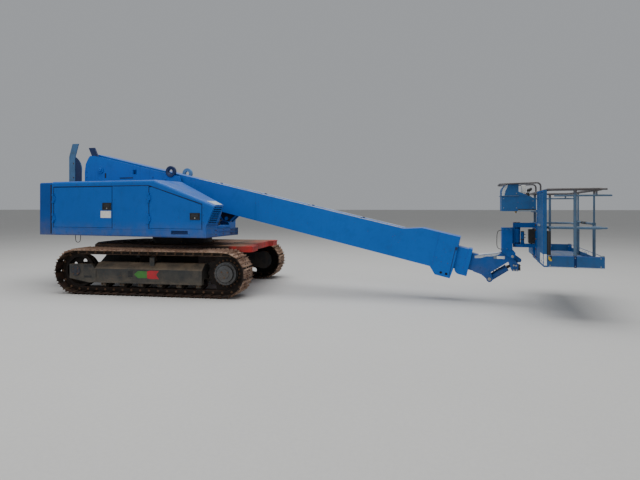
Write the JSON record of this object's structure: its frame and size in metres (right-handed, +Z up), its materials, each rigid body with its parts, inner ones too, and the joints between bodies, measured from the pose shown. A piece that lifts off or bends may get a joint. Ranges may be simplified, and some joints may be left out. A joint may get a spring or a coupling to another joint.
{
  "type": "tracked telescopic boom lift",
  "caption": "Crawler-mounted telescopic boom lift with slewing upper works, hooded machinery, levelled head and railed platform.",
  "frame": {"origin": "on the ground, under the middle of the machine's overall box", "axes": "+X forward along the boom to the platform, +Y to the machine's left, +Z up"},
  "size_m": [10.0148, 3.3822, 2.915],
  "materials": {
    "track_shoes": "rusty steel with sand in the grousers",
    "undercarriage_steel": "worn dark grey paint under dust",
    "deck_paint": "worn red paint under brown dirt",
    "dark_steel": "oily dark steel",
    "blue_paint": "satin blue paint, weathered",
    "counterweight_paint": "darker blue paint on a casting",
    "rail_paint": "faded grey-blue paint",
    "rod_chrome": "hard chrome"
  },
  "bodies": {
    "undercarriage": {"track_right": "track_shoes", "sprocket_right": "undercarriage_steel", "idler_right": "undercarriage_steel", "rollers_right": "undercarriage_steel", "track_frame_right": "undercarriage_steel", "track_left": "track_shoes", "sprocket_left": "undercarriage_steel", "idler_left": "undercarriage_steel", "rollers_left": "undercarriage_steel", "track_frame_left": "undercarriage_steel", "carbody": "deck_paint", "slew_ring_lower": "dark_steel"},
    "turntable": {"slew_ring_upper": "dark_steel", "turntable_floor": "blue_paint", "counterweight": "counterweight_paint", "hood_right": "blue_paint", "hood_left": "blue_paint", "intake_grille": "dark_steel", "boom_tower": "blue_paint", "rear_guard": "blue_paint", "engine_block": "dark_steel"},
    "door_right_rear": {"door_right_rear": "blue_paint"},
    "door_right_front": {"door_right_front": "blue_paint"},
    "door_left_rear": {"door_left_rear": "blue_paint"},
    "door_left_front": {"door_left_front": "blue_paint"},
    "boom_base": {"boom_base": "blue_paint"},
    "boom_mid": {"boom_mid": "blue_paint"},
    "boom_tip": {"boom_tip": "blue_paint", "nose_valves": "dark_steel"},
    "lift_barrel": {"lift_barrel": "dark_steel"},
    "lift_rod": {"lift_rod": "rod_chrome"},
    "level_barrel": {"level_barrel": "blue_paint"},
    "level_rod": {"level_rod": "rod_chrome"},
    "platform_head": {"platform_head": "blue_paint"},
    "platform": {"rotator_arms": "blue_paint", "rotator_motor": "blue_paint", "junction_box": "dark_steel", "platform_floor": "blue_paint", "platform_rails": "rail_paint", "side_panel": "blue_paint", "control_box": "blue_paint"},
    "gate_bar": {"gate_bar": "rail_paint"}
  },
  "joints": [
    {"name": "slew", "type": "hinge", "parent": "undercarriage", "child": "turntable", "pos_m": [-2.40741, 0, 1.03], "axis": [0, 0, 1], "continuous": true},
    {"name": "boom_lift", "type": "hinge", "parent": "turntable", "child": "boom_base", "pos_m": [-4.20742, 0, 2.35], "axis": [0, -1, 0], "range_deg": [0, 88]},
    {"name": "mid_slide", "type": "slide", "parent": "boom_base", "child": "boom_mid", "axis": [0.9746, 0, -0.2241], "range_m": [0, 5.8]},
    {"name": "tip_slide", "type": "slide", "parent": "boom_mid", "child": "boom_tip", "axis": [0.9746, 0, -0.2241], "range_m": [0, 5.8]},
    {"name": "lift_barrel_turn", "type": "hinge", "parent": "turntable", "child": "lift_barrel", "pos_m": [-3.85742, 0, 1.25], "axis": [0, -1, 0], "range_deg": [0, 76.95]},
    {"name": "lift_rod_slide", "type": "slide", "parent": "lift_barrel", "child": "lift_rod", "axis": [0.9993, 0, 0.0385], "range_m": [0, 1.4841]},
    {"name": "level", "type": "hinge", "parent": "boom_tip", "child": "platform_head", "pos_m": [3.84221, 0, 0.76988], "axis": [0, 1, 0], "range_deg": [0, 88.05]},
    {"name": "level_barrel_turn", "type": "hinge", "parent": "boom_tip", "child": "level_barrel", "pos_m": [3.49221, 0, 0.38488], "axis": [0, -1, 0], "range_deg": [0, 9.49]},
    {"name": "level_rod_slide", "type": "slide", "parent": "level_barrel", "child": "level_rod", "axis": [0.8251, 0, 0.565], "range_m": [-0.1649, 0]},
    {"name": "platform_turn", "type": "hinge", "parent": "platform_head", "child": "platform", "pos_m": [3.91722, 0, 0.76988], "axis": [0, 0, 1], "range_deg": [-90, 90]},
    {"name": "gate_slide", "type": "slide", "parent": "platform", "child": "gate_bar", "axis": [0, 0, 1], "range_m": [0, 0.4392]},
    {"name": "door_right_rear_swing", "type": "hinge", "parent": "turntable", "child": "door_right_rear", "pos_m": [-4.50242, -1.214, 1.18], "axis": [0, 0, -1], "range_deg": [0, 110]},
    {"name": "door_right_front_swing", "type": "hinge", "parent": "turntable", "child": "door_right_front", "pos_m": [-2.30641, -1.214, 1.18], "axis": [0, 0, -1], "range_deg": [0, 110]},
    {"name": "door_left_rear_swing", "type": "hinge", "parent": "turntable", "child": "door_left_rear", "pos_m": [-4.50242, 1.214, 1.18], "axis": [0, 0, 1], "range_deg": [0, 110]},
    {"name": "door_left_front_swing", "type": "hinge", "parent": "turntable", "child": "door_left_front", "pos_m": [-3.00741, 1.214, 1.18], "axis": [0, 0, 1], "range_deg": [0, 110]}
  ],
  "couplings": [
    {"joint": "tip_slide", "follows": "mid_slide", "ratio": 1},
    {"joint": "lift_barrel_turn", "follows": "boom_lift", "ratio": 0.87387},
    {"joint": "lift_rod_slide", "follows": "boom_lift", "m_per_rad": 0.96563},
    {"joint": "level", "follows": "boom_lift", "ratio": 1},
    {"joint": "level_barrel_turn", "follows": "boom_lift", "ratio": 0.10726},
    {"joint": "level_rod_slide", "follows": "boom_lift", "m_per_rad": -0.10673}
  ]
}
